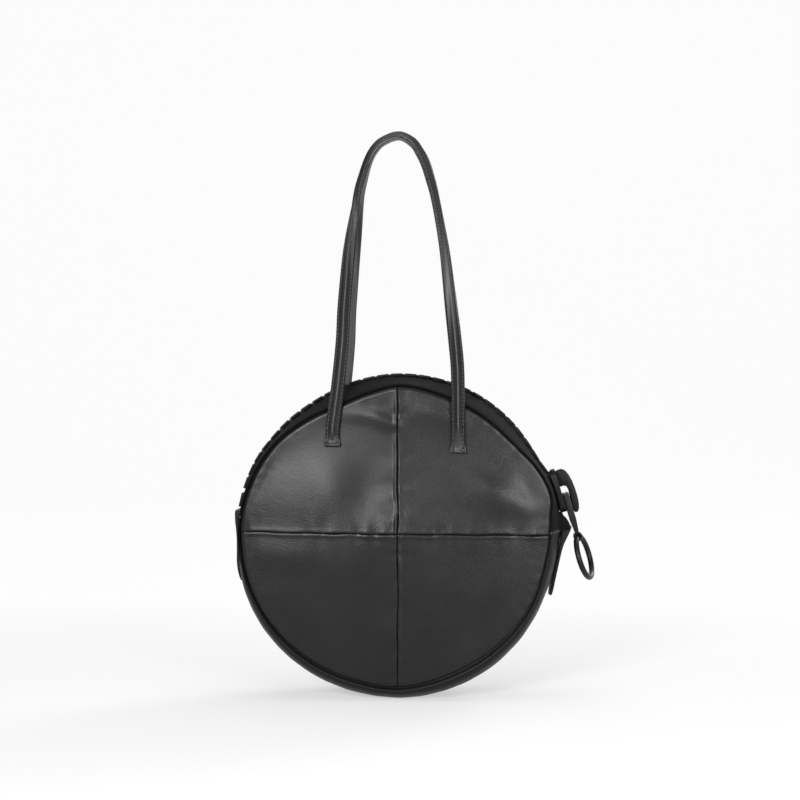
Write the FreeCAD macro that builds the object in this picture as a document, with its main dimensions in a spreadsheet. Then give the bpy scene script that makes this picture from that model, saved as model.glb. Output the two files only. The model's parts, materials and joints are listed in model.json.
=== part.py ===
import FreeCAD, Part
import math
import os
import re

import Sketcher
from FreeCAD import Placement, Rotation, Vector

# A round leather bag that stands on a flattened base. X runs to the right, Y away from the viewer and
# Z up; the origin is on the floor under the centre of the disc. Angles about the disc's axis start at
# +X and grow towards +Z, so the zip runs over the top from its right end to its left end.

# Driving sizes in millimetres and degrees: alias, value, meaning.
sizes = [
    ("zip_radius", 150, "radius of the zip tape over the crest"),
    ("centre_height", 147, "height of the disc's centre over the floor"),
    ("half_depth", 45, "mid-plane to the edge of the band"),
    ("rim_radius", 141, "radius of the band at its edge"),
    ("crest_half", 20, "half width of the band's level crest"),
    ("leather", 2, "thickness of the leather"),
    ("lining_cloth", 0.8, "thickness of the lining"),
    ("layer_gap", 0.3, "clearance between layers that are sewn together"),
    ("seam_gap", 0.4, "gap between the panel's quarters"),
    ("panel_crown", 8, "how far a panel bulges at its centre"),
    ("panel_overhang", 1, "how far a panel stands past the band's edge"),
    ("patch_room", 1.6, "room between leather and lining for the patches"),
    ("patch_thickness", 1, "thickness of a reinforcement patch"),
    ("patch_margin", 5, "how far a patch stands past the strap end it backs"),
    ("zip_start_angle", 3, "angle of the zip's right end"),
    ("zip_end_angle", 171.6, "angle of the zip's left end"),
    ("tape_thickness", 1.2, "thickness of a zip tape"),
    ("tape_edge", 8.2, "mid-plane to the tape's beaded edge"),
    ("bead_width", 2, "width of the bead that holds the teeth"),
    ("bead_thickness", 2.4, "thickness of the bead"),
    ("mould_gap", 0.2, "clearance of the teeth round the tape"),
    ("tooth_pitch", 13, "distance between the teeth of one row"),
    ("tooth_reach", 13, "mid-plane to the outer end of a tooth"),
    ("tooth_body", 10.6, "width of a tooth's body"),
    ("tooth_neck", 3.8, "width of a tooth's neck"),
    ("tooth_head", 7, "width of a tooth's head"),
    ("tooth_shoulder", 5.6, "mid-plane to the inner end of a tooth's body"),
    ("head_start", 0.8, "how far past the mid-plane a head starts"),
    ("head_reach", 4.6, "how far past the mid-plane a head reaches"),
    ("head_chamfer", 1.2, "corner cut of a head"),
    ("tooth_thickness", 6, "radial thickness of a tooth"),
    ("stop_length", 13, "length of the bottom stop along the zip"),
    ("stop_margin", 6.3, "bottom stop to the zip's left end"),
    ("top_stop_length", 4.5, "length of a top stop along the zip"),
    ("top_stop_inner", 6.2, "mid-plane to the inner side of a top stop"),
    ("slider_angle", 16.5, "angle of the slider's middle, zip closed"),
    ("slider_length", 40, "length of the slider along the zip"),
    ("slider_nose_half", 18.5, "half width of the slider at its nose"),
    ("slider_tail_half", 16.2, "half width of the slider at its tail"),
    ("slider_corner", 4, "corner cut of the slider's outline"),
    ("slider_plate", 2.6, "thickness of the slider's plates"),
    ("slide_gap", 0.4, "running clearance inside the slider"),
    ("divider_length", 14, "length of the post that parts the rows"),
    ("divider_half", 2.6, "half width of that post"),
    ("divider_inset", 2, "slider's nose to that post"),
    ("bridge_width", 9, "width of the bridge"),
    ("bridge_height", 13.5, "height of the bridge over the slider"),
    ("bridge_band", 5.5, "thickness of the bridge's arch"),
    ("bridge_inset", 0.5, "slider's end to the foot of the bridge"),
    ("bridge_web", 2, "slider's middle to the solid foot of the bridge"),
    ("link_bar", 4.2, "thickness of the pull link"),
    ("link_lift", 3.6, "slider's plate to the middle of the link's bar"),
    ("link_setback", 6.5, "slider's middle to the link's bar, towards the nose"),
    ("link_gap", 0.8, "clearance between the link's cheeks and the bridge"),
    ("link_window", 24, "length of the link's window, from the bar"),
    ("link_length", 40, "length of the link from bar to knuckle"),
    ("knuckle_length", 9, "length of the knuckle that holds the ring"),
    ("knuckle_wall", 2, "wall of the knuckle"),
    ("ring_radius", 20.5, "radius of the ring's wire, to its middle"),
    ("ring_wire", 5.2, "diameter of the ring's wire"),
    ("ring_gap", 0.7, "clearance of the wire in the knuckle"),
    ("ring_lean", 11, "lean of the hanging ring from the vertical"),
    ("tab_width", 34, "width of the tabs over the zip's ends"),
    ("tab_thickness", 3, "thickness of a tab"),
    ("tab_corner", 13, "corner radius of a tab's free end"),
    ("tab_left_angle", 24, "angle that the left tab covers"),
    ("tab_left_fold", 6.2, "rise of the left tab's fold over the band"),
    ("tab_left_taper_angle", 9, "angle over which that fold runs out"),
    ("tab_right_angle", 24, "angle that the right tab covers"),
    ("tab_right_fold", 10, "rise of the right tab's fold over the band"),
    ("tab_right_lift", 2, "rise of the right tab's free end over the band"),
    ("tab_neck_angle", 4, "angle that the right tab's sewn neck covers"),
    ("tab_set_angle", 0.4, "angle between a tab and the end of the zip"),
    ("handle_half_span", 58, "mid-line to the middle of a strap end"),
    ("stitch_low", 78, "disc's centre to the bottom of a sewn strap end"),
    ("stitch_high", 101, "disc's centre to the top of a sewn strap end"),
    ("handle_top", 377, "disc's centre to the top of the handles"),
    ("handle_part", 7.4, "mid-plane to the middle of a strap at its top"),
    ("strap_gap", 1.2, "sewn strap end to the free strap"),
    ("strap_width", 13.5, "width of a strap"),
    ("strap_edge", 2.6, "thickness of a strap beside its filled centre"),
    ("ridge_width", 6.8, "width of the filled centre"),
    ("ridge_height", 2.8, "height of the filled centre over the strap"),
    ("core_radius", 2, "radius of the filler cord"),
    ("core_cover", 0.9, "leather over the filler cord"),
    ("core_gap", 0.1, "clearance round the filler cord"),
    ("overrun", 5, "how far a cut runs past what it cuts"),
]

# Shares: the strap's arch is a cubic in X, drawn with this many spans a leg; it has turned edge-on by
# this share of the leg, and the filled centre is drawn by shares of its half width and its height.
arch_power = 3
leg_spans = 12
turned_share = 0.35
ridge_shares = [(1, 0), (0.6, 0.8), (0, 1)]
core_sides = 8

doc = FreeCAD.newDocument("CircleBag")
sheet = doc.addObject("Spreadsheet::Sheet", "Sizes")
for row, (alias, number, meaning) in enumerate(sizes, start=1):
    sheet.set(f"A{row}", meaning)
    sheet.set(f"B{row}", str(number))
    sheet.setAlias(f"B{row}", alias)
doc.recompute()

aliases = {alias for alias, number, meaning in sizes}
finished = []


# Formulas are written with the bare names of the sizes.
def cells(formula):
    return re.sub(r"[a-z_]+", lambda word: f"Sizes.{word[0]}" if word[0] in aliases else word[0], formula)


def value(formula):
    return float(sheet.evalExpression(cells(formula)))


def bind(thing, **formulas):
    for name, formula in formulas.items():
        thing.setExpression(name.replace("__", "."), cells(formula))


def name_part(thing, label):
    thing.Label = label
    finished.append(thing)
    return thing


# What several pieces share: the band's outer radius, a panel's radius, the sphere that its outer face
# lies on, and how far the top of that face stands from the mid-plane.
band_radius = "(zip_radius + tape_thickness / 2)"
panel_radius = "(rim_radius + panel_overhang)"
dome_radius = f"(({panel_radius}^2 + panel_crown^2) / (2 * panel_crown))"
panel_apex = "(half_depth + layer_gap + leather + panel_crown)"
tooth_top = "(zip_radius + tooth_thickness / 2)"
tooth_floor = "(zip_radius - tooth_thickness / 2)"


# Sketches
def new_sketch(holder, name, plane, lift="0"):
    if holder is doc:
        return doc.addObject("Sketcher::SketchObject", name)
    sketch = holder.newObject("Sketcher::SketchObject", name)
    support = next(feature for feature in holder.Origin.OriginFeatures if feature.Role == plane)
    sketch.AttachmentSupport = [(support, "")]
    sketch.MapMode = "FlatFace"
    bind(sketch, AttachmentOffset__Base__z=lift)
    return sketch


def pin_point(sketch, name, geometry, end, formulas):
    for axis, formula in zip("XY", formulas):
        rule = Sketcher.Constraint(f"Distance{axis}", -1, 1, geometry, end, value(formula))
        sketch.renameConstraint(sketch.addConstraint(rule), f"{name}_{axis.lower()}")
        bind(sketch, **{f"Constraints__{name}_{axis.lower()}": formula})


def set_radius(sketch, name, geometry, formula):
    rule = Sketcher.Constraint("Radius", geometry, value(formula))
    sketch.renameConstraint(sketch.addConstraint(rule), name)
    bind(sketch, **{f"Constraints__{name}": formula})


# A closed outline through corners, each a pair of formulas. arcs gives, for the side that starts at a
# corner, the arc's radius, its centre and whether it turns anticlockwise.
def draw_outline(holder, name, corners, arcs=None, plane="XY_Plane", lift="0"):
    sketch = new_sketch(holder, name, plane, lift)
    arcs = arcs or {}
    points = [Vector(value(across), value(up), 0) for across, up in corners]
    count = len(points)
    for side in range(count):
        first, last = points[side], points[(side + 1) % count]
        if side not in arcs:
            sketch.addGeometry(Part.LineSegment(first, last), False)
            continue
        radius, centre, anticlockwise = arcs[side]
        middle = Vector(value(centre[0]), value(centre[1]), 0)
        turns = [math.atan2(point.y - middle.y, point.x - middle.x) for point in (first, last)]
        start, stop = turns if anticlockwise else reversed(turns)
        circle = Part.Circle(middle, Vector(0, 0, 1), value(radius))
        sketch.addGeometry(Part.ArcOfCircle(circle, start, stop), False)
    ends = [(1, 2) if side not in arcs or arcs[side][2] else (2, 1) for side in range(count)]
    for side in range(count):
        after = (side + 1) % count
        joined = Sketcher.Constraint("Coincident", side, ends[side][1], after, ends[after][0])
        sketch.addConstraint(joined)
    for side, corner in enumerate(corners):
        pin_point(sketch, f"corner{side}", side, ends[side][0], corner)
    for side in arcs:
        set_radius(sketch, f"radius{side}", side, arcs[side][0])
    return sketch


def draw_circle(holder, name, centre, radius, plane):
    sketch = new_sketch(holder, name, plane)
    middle = Vector(value(centre[0]), value(centre[1]), 0)
    sketch.addGeometry(Part.Circle(middle, Vector(0, 0, 1), value(radius)), False)
    pin_point(sketch, "centre", 0, 3, centre)
    set_radius(sketch, "radius", 0, radius)
    return sketch


# Bodies and their features
def new_body(label, turn="0", shift="0", lift="0"):
    body = doc.addObject("PartDesign::Body", label)
    spin = Rotation(Vector(0, -1, 0), value(turn))
    body.Placement = Placement(Vector(), spin)
    bind(body, Placement__Base__x=shift, Placement__Base__z=f"centre_height + {lift}")
    if value(turn):
        bind(body, Placement__Rotation__Angle=turn)
    return body


def turn_profile(body, sketch, angle, kind="Revolution"):
    feature = body.newObject(f"PartDesign::{kind}", f"{sketch.Name}_{kind}")
    feature.Profile = sketch
    feature.ReferenceAxis = (sketch, ["V_Axis"])
    feature.Midplane = True
    bind(feature, Angle=angle)
    doc.recompute()
    return feature


def pad_profile(body, sketch, thickness, symmetric=True, kind="Pad"):
    feature = body.newObject(f"PartDesign::{kind}", f"{sketch.Name}_{kind}")
    feature.Profile = sketch
    if symmetric:
        feature.SideType = "Symmetric"
    bind(feature, Length=thickness)
    doc.recompute()
    return feature


def round_edges(body, base, wanted, radius):
    names = [f"Edge{number}" for number, edge in enumerate(base.Shape.Edges, start=1) if wanted(edge)]
    fillet = body.newObject("PartDesign::Fillet", f"{body.Name}_corners")
    fillet.Base = (base, names)
    bind(fillet, Radius=radius)
    doc.recompute()
    return fillet


# Crowned leather: a shell between two spheres about one centre, cut into a sector about the disc's axis.
# Depths are measured inwards from the panel's outer face, and side is -1 in front and 1 behind.
def crowned_outline(holder, name, side, outer, inner, reach):
    def face_at(depth):
        height = f"sqrt(({dome_radius} - ({depth}))^2 - ({reach})^2)"
        return f"{side} * ({panel_apex} - {dome_radius} + {height})"

    corners = [
        ("0", f"{side} * ({panel_apex} - ({outer}))"),
        (reach, face_at(outer)),
        (reach, face_at(inner)),
        ("0", f"{side} * ({panel_apex} - ({inner}))"),
    ]
    centre = ("0", f"{side} * ({panel_apex} - {dome_radius})")
    arcs = {
        0: (f"{dome_radius} - ({outer})", centre, side < 0),
        2: (f"{dome_radius} - ({inner})", centre, side > 0),
    }
    return draw_outline(holder, name, corners, arcs)


def crowned_sector(label, side, outer, inner, reach, turn, sweep, shift="0", lift="0"):
    body = new_body(label, turn, shift, lift)
    sketch = crowned_outline(body, f"{label}_profile", side, outer, inner, reach)
    turn_profile(body, sketch, sweep)
    return body


def make_panels():
    quarters = [
        ("upper_right", "45", 1, 1),
        ("upper_left", "135", -1, 1),
        ("lower_left", "225", -1, -1),
        ("lower_right", "315", 1, -1),
    ]
    for face, side in (("front", -1), ("back", 1)):
        for place, turn, right, above in quarters:
            label = f"{face}_quarter_{place}"
            shift, lift = f"{right} * seam_gap / 2", f"{above} * seam_gap / 2"
            quarter = crowned_sector(label, side, "0", "leather", panel_radius, turn, "90", shift, lift)
            name_part(quarter, label)


def make_panel_linings():
    outer = "leather + patch_room"
    inner = f"{outer} + lining_cloth"
    reach = "(rim_radius - leather - lining_cloth - 2 * layer_gap)"
    for face, side in (("front", -1), ("back", 1)):
        for place, turn, above in (("upper", "90", 1), ("lower", "270", -1)):
            label = f"{face}_lining_{place}"
            lift = f"{above} * seam_gap / 2"
            half = crowned_sector(label, side, outer, inner, reach, turn, "180", lift=lift)
            name_part(half, label)


# The lower band: a drum that is flattened where it stands, less the same drum one layer smaller.
def band_drum(name, inset, half_width, sweep, floor_rise):
    slope = "((zip_radius - rim_radius) / (half_depth - crest_half))"
    crest = f"({band_radius} - ({inset}))"
    edge = f"({crest} - {slope} * (({half_width}) - crest_half))"
    corners = [
        ("0", f"-({half_width})"),
        (edge, f"-({half_width})"),
        (crest, "-crest_half"),
        (crest, "crest_half"),
        (edge, half_width),
        ("0", half_width),
    ]
    drum = doc.addObject("Part::Revolution", f"{name}_drum")
    drum.Source = draw_outline(doc, f"{name}_profile", corners)
    drum.Axis = Vector(0, 1, 0)
    drum.Symmetric = True
    drum.Solid = True
    bind(drum, Angle=sweep)
    middle = "(zip_start_angle + zip_end_angle) / 2 + 180"
    drum.Placement = Placement(Vector(), Rotation(Vector(0, -1, 0), value(middle)))
    bind(drum, Placement__Rotation__Angle=middle, Placement__Base__z="centre_height")
    floor = doc.addObject("Part::Box", f"{name}_floor")
    bind(floor, Length="2 * zip_radius", Width="4 * half_depth", Height="zip_radius")
    bind(floor, Placement__Base__x="-zip_radius", Placement__Base__y="-2 * half_depth")
    bind(floor, Placement__Base__z=f"{floor_rise} - zip_radius")
    flattened = doc.addObject("Part::Cut", f"{name}_flattened")
    flattened.Base = drum
    flattened.Tool = floor
    return flattened


def make_band(label, inset, thickness, half_width, floor_rise):
    sweep = "(360 - (zip_end_angle - zip_start_angle) - 2 * tab_set_angle)"
    band = doc.addObject("Part::Cut", label)
    band.Base = band_drum(f"{label}_outer", inset, half_width, sweep, floor_rise)
    wider = f"({half_width}) + overrun"
    longer = f"{sweep} + 2 * tab_set_angle"
    risen = f"{floor_rise} + {thickness}"
    band.Tool = band_drum(f"{label}_inner", f"{inset} + {thickness}", wider, longer, risen)
    name_part(band, label)


def make_bands():
    make_band("lower_gusset", "0", "leather", "half_depth", "0")
    hidden_width = "(half_depth - leather)"
    make_band("gusset_lining", "leather + layer_gap", "lining_cloth", hidden_width, "leather + layer_gap")


# Zip tapes: a band over the crest and down to the panel's edge, with a bead where the teeth sit.
def make_tapes():
    top, floor = band_radius, "(zip_radius - tape_thickness / 2)"
    drop = "(zip_radius - rim_radius)"
    bead_top = "(zip_radius + bead_thickness / 2)"
    bead_floor = "(zip_radius - bead_thickness / 2)"
    bead_end = "(tape_edge + bead_width)"
    for face, side in (("front", -1), ("back", 1)):
        label = f"{face}_zip_tape"
        body = new_body(label, "(zip_start_angle + zip_end_angle) / 2")
        upper = [(bead_top, "tape_edge"), (bead_top, bead_end), (top, bead_end), (top, "crest_half")]
        lower = [(floor, "crest_half"), (floor, bead_end)]
        lower += [(bead_floor, bead_end), (bead_floor, "tape_edge")]
        edge = [(f"{top} - {drop}", "half_depth"), (f"{floor} - {drop}", "half_depth")]
        corners = [(radius, f"{side} * {across}") for radius, across in upper + edge + lower]
        profile = draw_outline(body, f"{label}_profile", corners)
        turn_profile(body, profile, "zip_end_angle - zip_start_angle")
        name_part(body, label)


# Teeth and stops are moulded round the bead, so each has a slot for the tape. A piece stands on +X,
# with its length along Z, and turns to its angle about the disc's axis.
def tape_slot(length):
    gap = value("mould_gap")
    near, far = value("tape_edge") - gap, value("tooth_reach + overrun")
    half_tape, half_bead = value("tape_thickness / 2") + gap, value("bead_thickness / 2") + gap
    past_bead = near + value("bead_width") + 2 * gap
    steps = [(half_bead, near, past_bead), (half_tape, past_bead, far)]
    boxes = []
    for half, start, end in steps:
        corner = Vector(value("zip_radius") - half, start, -length)
        boxes.append(Part.makeBox(2 * half, end - start, 2 * length, corner))
    return boxes[0].fuse(boxes[1])


def moulded(outline, length):
    floor = value(tooth_floor)
    wire = Part.makePolygon([Vector(floor, across, along) for along, across in outline + outline[:1]])
    block = Part.Face(wire).extrude(Vector(value("tooth_thickness"), 0, 0))
    slot = tape_slot(length)
    return block.cut(slot).cut(slot.mirror(Vector(), Vector(0, 1, 0)))


def tooth_solid():
    body, neck, head = (value(f"tooth_{part} / 2") for part in ("body", "neck", "head"))
    shoulder, reach = value("tooth_shoulder"), value("tooth_reach")
    start, tip, cut = value("head_start"), value("head_reach"), value("head_chamfer")
    half = [
        (body, reach),
        (body, shoulder + body - neck),
        (neck, shoulder),
        (neck, -start),
        (head, -start - cut),
        (head, cut - tip),
        (head - cut, -tip),
    ]
    outline = half + [(-along, across) for along, across in reversed(half)]
    return moulded(outline, value("tooth_pitch"))


def at_angle(solid, degrees):
    turned = solid.copy()
    turned.rotate(Vector(), Vector(0, -1, 0), degrees)
    turned.translate(Vector(0, 0, value("centre_height")))
    return turned


def add_solids(label, solids):
    part = doc.addObject("Part::Feature", label)
    part.Shape = Part.makeCompound(solids)
    part.Placement = Placement()
    name_part(part, label)


def arc_degrees(formula):
    return math.degrees(value(formula) / value("zip_radius"))


def make_teeth():
    pitch = arc_degrees("tooth_pitch")
    first = value("slider_angle")
    stop = value("zip_end_angle") - arc_degrees("stop_margin + stop_length")
    tooth = tooth_solid()
    across = tooth.copy()
    across.rotate(Vector(), Vector(1, 0, 0), 180)
    for face, solid, offset in (("front", across, 0), ("back", tooth, pitch / 2)):
        room = stop - first - offset - arc_degrees("tooth_body / 2 + layer_gap")
        count = int(room / pitch) + 1
        solids = [at_angle(solid, first + offset + step * pitch) for step in range(count)]
        add_solids(f"{face}_zip_teeth", solids)


def make_stops():
    reach, half = value("tooth_reach"), value("stop_length / 2")
    outline = [(-half, -reach), (half, -reach), (half, reach), (-half, reach)]
    middle = value("zip_end_angle") - arc_degrees("stop_margin + stop_length / 2")
    add_solids("zip_bottom_stop", [at_angle(moulded(outline, 2 * half), middle)])
    half, inner = value("top_stop_length / 2"), value("top_stop_inner")
    middle = value("slider_angle") - arc_degrees("slider_length / 2 + layer_gap + top_stop_length / 2")
    for face, side in (("front", -1), ("back", 1)):
        near, far = side * inner, side * reach
        outline = [(-half, near), (half, near), (half, far), (-half, far)]
        add_solids(f"{face}_zip_top_stop", [at_angle(moulded(outline, 2 * half), middle)])


# Slider: two plates with side walls, hollowed by the path of the teeth, a post that parts the rows and
# an arched bridge. It stands on +X with its nose towards -Z.
channel_top = f"({tooth_top} + slide_gap)"
channel_floor = f"({tooth_floor} - slide_gap)"
plate_top = f"({channel_top} + slider_plate)"
plate_floor = f"(sqrt({channel_floor}^2 - (slider_length / 2)^2) - slider_plate)"
link_radius = f"({plate_top} + link_lift)"


def make_slider():
    body = new_body("zip_slider", "slider_angle")
    half = "slider_length / 2"
    right = [
        ("slider_tail_half - slider_corner", half),
        ("slider_tail_half", f"{half} - slider_corner"),
        ("slider_nose_half", f"slider_corner - {half} / 2"),
        ("slider_nose_half", f"slider_corner - {half}"),
        ("slider_nose_half - slider_corner", f"-{half}"),
    ]
    left = [(f"-({across})", along) for across, along in reversed(right)]
    block = draw_outline(body, "slider_block", right + left, plane="YZ_Plane", lift=plate_floor)
    pad_profile(body, block, f"{plate_top} - {plate_floor}", symmetric=False)
    room = "(tooth_reach + slide_gap)"
    slot_half = "(tape_thickness / 2 + slide_gap)"
    out = "(slider_nose_half + overrun)"
    slot_top, slot_floor = f"zip_radius + {slot_half}", f"zip_radius - {slot_half}"
    near = [(channel_floor, room), (slot_floor, room), (slot_floor, out)]
    far = [(slot_top, out), (slot_top, room), (channel_top, room)]
    across = [(radius, f"-{along}") for radius, along in reversed(near + far)]
    path = draw_outline(body, "slider_path", near + far + across)
    turn_profile(body, path, "2 * atan(slider_length / zip_radius)", "Groove")
    nose = f"divider_inset - {half}"
    post = [
        ("divider_half / 2", nose),
        ("divider_half", f"{nose} + divider_length / 2"),
        ("0", f"{nose} + divider_length"),
        ("-divider_half", f"{nose} + divider_length / 2"),
        ("-divider_half / 2", nose),
    ]
    foot = f"({plate_floor} + slider_plate / 2)"
    divider = draw_outline(body, "slider_divider", post, plane="YZ_Plane", lift=foot)
    pad_profile(body, divider, f"{plate_top} - slider_plate / 2 - {foot}", symmetric=False)
    add_bridge(body)
    name_part(body, "zip_slider")


def add_bridge(body):
    half = "(slider_length / 2 - bridge_inset)"
    arch = f"(({half}^2 + bridge_height^2) / (2 * bridge_height))"
    middle = (f"{plate_top} + bridge_height - {arch}", "0")
    sunk = f"{plate_top} - slider_plate / 2"
    corners = [(sunk, f"-{half}"), (plate_top, f"-{half}"), (plate_top, half), (sunk, half)]
    outline = draw_outline(body, "slider_bridge", corners, {1: (arch, middle, True)}, "XZ_Plane")
    pad_profile(body, outline, "bridge_width")
    inner = f"({arch} - bridge_band)"
    rise = f"({arch} - bridge_height)"
    eye = [
        (plate_top, f"-sqrt({inner}^2 - {rise}^2)"),
        (f"{plate_top} - {rise} + sqrt({inner}^2 - bridge_web^2)", "bridge_web"),
        (plate_top, "bridge_web"),
    ]
    window = draw_outline(body, "bridge_window", eye, {0: (inner, middle, True)}, "XZ_Plane")
    pad_profile(body, window, "bridge_width + overrun", kind="Pocket")


# Pull link: a bar through the bridge, two cheeks beside it, and a tongue that ends in a knuckle.
knuckle_bore = "(ring_wire / 2 + ring_gap)"
link_drop = "(link_setback + link_length)"


def make_link():
    body = new_body("pull_link", "slider_angle")
    inner = "(bridge_width / 2 + link_gap)"
    outer = f"({inner} + link_bar)"
    top = "link_bar / 2 - link_setback"
    window_end = "-link_setback - link_window"
    right = [
        (inner, window_end),
        (inner, top),
        (outer, top),
        (outer, window_end),
        ("knuckle_length / 2", f"-{link_drop} + {knuckle_bore}"),
        ("knuckle_length / 2", f"-{link_drop}"),
    ]
    left = [(f"-{across}", along) for across, along in reversed(right)]
    plate = draw_outline(body, "link_plate", right + left, plane="YZ_Plane", lift=link_radius)
    pad_profile(body, plate, "link_bar")
    pivot = (link_radius, "-link_setback")
    bar = draw_circle(body, "link_bar_section", pivot, "link_bar / 2", "XZ_Plane")
    pad_profile(body, bar, f"2 * {inner} + link_bar")
    middle = (link_radius, f"-{link_drop}")
    knuckle = draw_circle(body, "link_knuckle", middle, f"{knuckle_bore} + knuckle_wall", "XZ_Plane")
    pad_profile(body, knuckle, "knuckle_length")
    bore = draw_circle(body, "link_bore", middle, knuckle_bore, "XZ_Plane")
    pad_profile(body, bore, "knuckle_length + overrun", kind="Pocket")
    name_part(body, "pull_link")


def make_ring():
    ring = doc.addObject("Part::Torus", "pull_ring")
    ring.Placement = Placement(Vector(), Rotation(Vector(0, 1, 0), 90 - value("ring_lean")))
    sag = "(ring_radius - sqrt(ring_radius^2 - (knuckle_length / 2)^2)) / 2"
    hang = f"(ring_radius - {sag})"
    across = f"{link_radius} * cos(slider_angle) + {link_drop} * sin(slider_angle)"
    along = f"{link_radius} * sin(slider_angle) - {link_drop} * cos(slider_angle)"
    bind(ring, Radius1="ring_radius", Radius2="ring_wire / 2")
    bind(ring, Placement__Rotation__Angle="90 - ring_lean")
    bind(ring, Placement__Base__x=f"{across} + {hang} * sin(ring_lean)")
    bind(ring, Placement__Base__z=f"centre_height + {along} - {hang} * cos(ring_lean)")
    name_part(ring, "pull_ring")


# Leather tabs over the ends of the zip, drawn in polar places about the disc's centre.
def polar(radius, angle):
    return f"({radius}) * cos({angle})", f"({radius}) * sin({angle})"


def make_tab(label, corners, arcs, low_angle):
    body = new_body(label)
    outline = draw_outline(body, f"{label}_profile", corners, arcs, "XZ_Plane")
    pad = pad_profile(body, outline, "tab_width")
    low_end = value(low_angle)

    def corner_edge(edge):
        ends = [vertex.Point for vertex in edge.Vertexes]
        level = abs(ends[0].y - ends[-1].y) < value("layer_gap")
        angles = [math.degrees(math.atan2(point.z, point.x)) % 360 for point in ends]
        return level and all(abs(angle - low_end) < value("tab_set_angle") for angle in angles)

    round_edges(body, pad, corner_edge, "tab_corner")
    name_part(body, label)


def make_tabs():
    seat = f"({band_radius} + layer_gap)"
    skin = f"({seat} + tab_thickness)"
    start = "(zip_end_angle + tab_set_angle)"
    end = f"({start} + tab_left_angle)"
    eased = f"({start} + tab_left_taper_angle)"
    corners = [
        polar(seat, start),
        polar(seat, end),
        polar(skin, end),
        polar(skin, eased),
        polar(f"{band_radius} + tab_left_fold", start),
    ]
    arcs = {0: (seat, ("0", "0"), True), 2: (skin, ("0", "0"), False)}
    make_tab("zip_tab_left", corners, arcs, end)
    start = "(zip_start_angle - tab_set_angle)"
    end = f"({start} - tab_right_angle)"
    neck = f"({start} - tab_neck_angle)"
    folded = polar(f"{band_radius} + tab_right_fold", start)
    free_end = polar(f"{band_radius} + tab_right_lift + tab_thickness", end)
    share = "tab_neck_angle / tab_right_angle"
    inwards = polar("tab_thickness", neck)
    inside_neck = [
        f"({near}) * (1 - {share}) + ({far}) * {share} - {back}"
        for near, far, back in zip(folded, free_end, inwards)
    ]
    corners = [
        polar(seat, start),
        polar(seat, neck),
        inside_neck,
        polar(f"{band_radius} + tab_right_lift", end),
        free_end,
        folded,
    ]
    arcs = {0: (seat, ("0", "0"), False)}
    make_tab("zip_tab_right", corners, arcs, f"{end} + 360")


# Sewn strap ends lie on a panel, and patches lie behind them: crowned shells cut by a pair of blocks.
def pair_of_blocks(name, side, half_width, low, high):
    blocks = []
    for place, right in (("left", -1), ("right", 1)):
        block = doc.addObject("Part::Box", f"{name}_{place}")
        depth = f"({panel_apex} + overrun)"
        bind(block, Length=f"2 * {half_width}", Width=depth, Height=f"{high} - ({low})")
        bind(block, Placement__Base__x=f"{right} * handle_half_span - {half_width}")
        bind(block, Placement__Base__y=f"({side} - 1) / 2 * {depth}")
        bind(block, Placement__Base__z=f"centre_height + {low}")
        blocks.append(block)
    pair = doc.addObject("Part::MultiFuse", f"{name}_pair")
    pair.Shapes = blocks
    return pair


def crowned_pair(name, side, outer, inner, half_width, low, high):
    shell = crowned_sector(f"{name}_shell", side, outer, inner, "rim_radius", "90", "180")
    cut = doc.addObject("Part::Common", name)
    cut.Base = shell
    cut.Tool = pair_of_blocks(name, side, half_width, low, high)
    return cut


def make_strap_ends():
    face, back = "-layer_gap - strap_edge", "-layer_gap"
    for name, side in (("front", -1), ("back", 1)):
        half = "(strap_width / 2)"
        flat = crowned_pair(f"{name}_end_flat", side, face, back, half, "stitch_low", "stitch_high")
        top = f"{face} - ridge_height * {ridge_shares[1][1]}"
        half = f"(ridge_width / 2 * {ridge_shares[1][0]})"
        low = "stitch_low + ridge_width / 2"
        ridge = crowned_pair(f"{name}_end_ridge", side, top, face, half, low, "stitch_high")
        ends = doc.addObject("Part::MultiFuse", f"{name}_handle_ends")
        ends.Shapes = [flat, ridge]
        name_part(ends, f"{name}_handle_ends")
        wide = "(strap_width / 2 + patch_margin)"
        near, far = "leather + layer_gap", "leather + layer_gap + patch_thickness"
        low, high = "stitch_low - patch_margin", "stitch_high + patch_margin"
        label = f"{name}_handle_patches"
        name_part(crowned_pair(label, side, near, far, wide, low, high), label)


# Handles: the strap's middle line is an arch that leans to the mid-plane, and its flat face turns from
# the panel's face at the ends to the outside of the arch at the top.
def strap_place(share):
    rise = value("handle_top - stitch_high - strap_gap")
    depth = rise * share**2
    across = value("handle_half_span") * abs(share) ** (2 / arch_power) * math.copysign(1, share)
    climb = 1 - depth / rise
    inner = "(handle_half_span - strap_width / 2)"
    panel_face = f"{panel_apex} - {dome_radius} + sqrt({dome_radius}^2 - {inner}^2 - stitch_high^2)"
    start = value(f"{panel_face} + layer_gap + strap_edge / 2")
    out = start + (value("handle_part") - start) * climb**2
    return Vector(across, -out, value("centre_height + handle_top") - depth)


def strap_frame(share):
    step = 0.5 / leg_spans
    before, after = (strap_place(max(-1, min(1, share + change))) for change in (-step, step))
    along = (after - before).normalize()
    outside = Vector(-along.z, 0, along.x).normalize()
    turned = min(1, (1 - abs(share)) / (1 - turned_share))
    angle = math.radians(90) * turned**2 * (3 - 2 * turned)
    facing = Vector(0, -math.cos(angle), 0) + outside * math.sin(angle)
    facing = (facing - along * facing.dot(along)).normalize()
    return strap_place(share), along.cross(facing), facing


def strap_section(share, outline):
    middle, wide, facing = strap_frame(share)
    points = [middle + wide * across + facing * out for across, out in outline]
    return Part.makePolygon(points + points[:1])


def strap_loft(outline):
    shares = [step / leg_spans for step in range(-leg_spans, leg_spans + 1)]
    return Part.makeLoft([strap_section(share, outline) for share in shares], True, True)


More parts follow.
